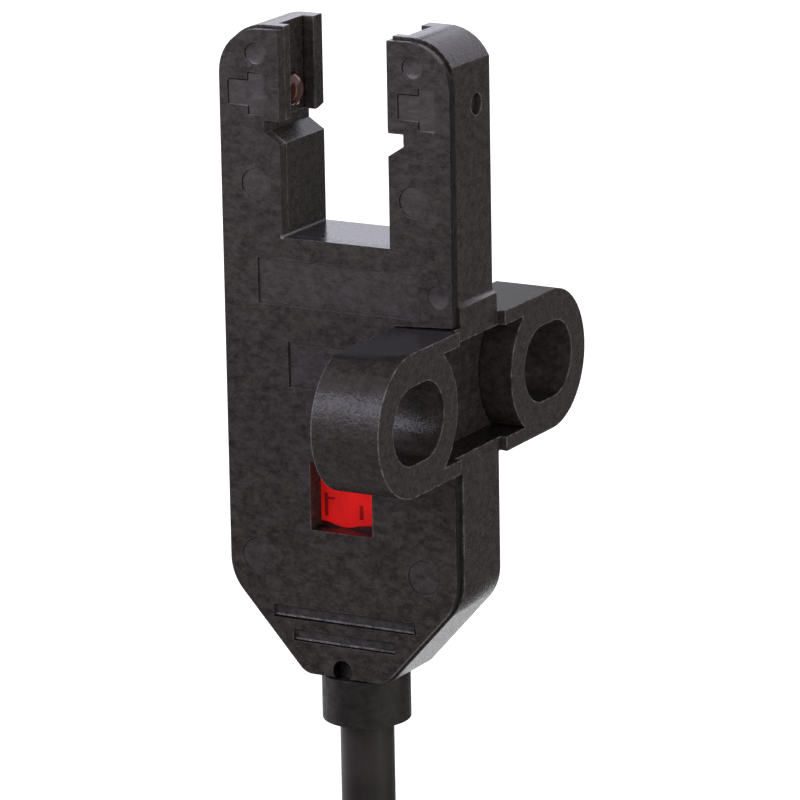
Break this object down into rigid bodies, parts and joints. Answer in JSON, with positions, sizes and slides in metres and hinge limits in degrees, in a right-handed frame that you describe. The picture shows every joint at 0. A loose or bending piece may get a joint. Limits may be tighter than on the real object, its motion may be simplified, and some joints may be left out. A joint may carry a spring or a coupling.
{
  "type": "through-beam photoelectric sensor",
  "caption": "Slim fork-shaped through-beam photoelectric sensor with a slotted side mounting flange, a red indicator window and a fixed lead",
  "frame": {"origin": "middle of the two mounting slots, on the flange face", "axes": "+X out of the flange face, -Y out of the front cover, +Z towards the ends of the two arms"},
  "size_m": [0.0213, 0.0197, 0.1193],
  "materials": {
    "case_plastic": "moulded, fine eroded grain",
    "cover_plastic": "moulded, satin",
    "indicator_red": "clear red, polished",
    "lens_red": "dark clear red, polished",
    "tinned_lead": "tinned",
    "board_green": "solder resist",
    "chip_black": "moulded epoxy",
    "capacitor_tan": "ceramic body",
    "led_clear": "clear resin",
    "solder": "bright solder",
    "bushing_rubber": "moulded, satin",
    "lead_pvc": "extruded jacket, satin",
    "tie_strap": "woven band",
    "core_brown": "extruded insulation",
    "core_black": "extruded insulation",
    "core_blue": "extruded insulation",
    "core_pink": "extruded insulation",
    "bare_copper": "bare stranded copper"
  },
  "bodies": {
    "root": {"rear_case": "case_plastic", "front_cover": "cover_plastic", "indicator_window": "indicator_red", "emitter_package": "lens_red", "emitter_leads": "tinned_lead", "receiver_package": "lens_red", "receiver_leads": "tinned_lead", "circuit_board": "board_green", "amplifier_ic": "chip_black", "output_transistor": "chip_black", "protection_diode": "chip_black", "resistors": "chip_black", "capacitor": "capacitor_tan", "indicator_led": "led_clear", "solder_joints": "solder", "lead_bushing": "bushing_rubber", "brown_core": "core_brown", "black_core": "core_black", "blue_core": "core_blue", "pink_core": "core_pink", "lead_jacket": "lead_pvc", "lead_hank": "lead_pvc", "hank_tie": "tie_strap", "lead_tail": "lead_pvc", "brown_tail": "core_brown", "black_tail": "core_black", "blue_tail": "core_blue", "pink_tail": "core_pink", "bare_strands": "bare_copper"}
  },
  "joints": []
}
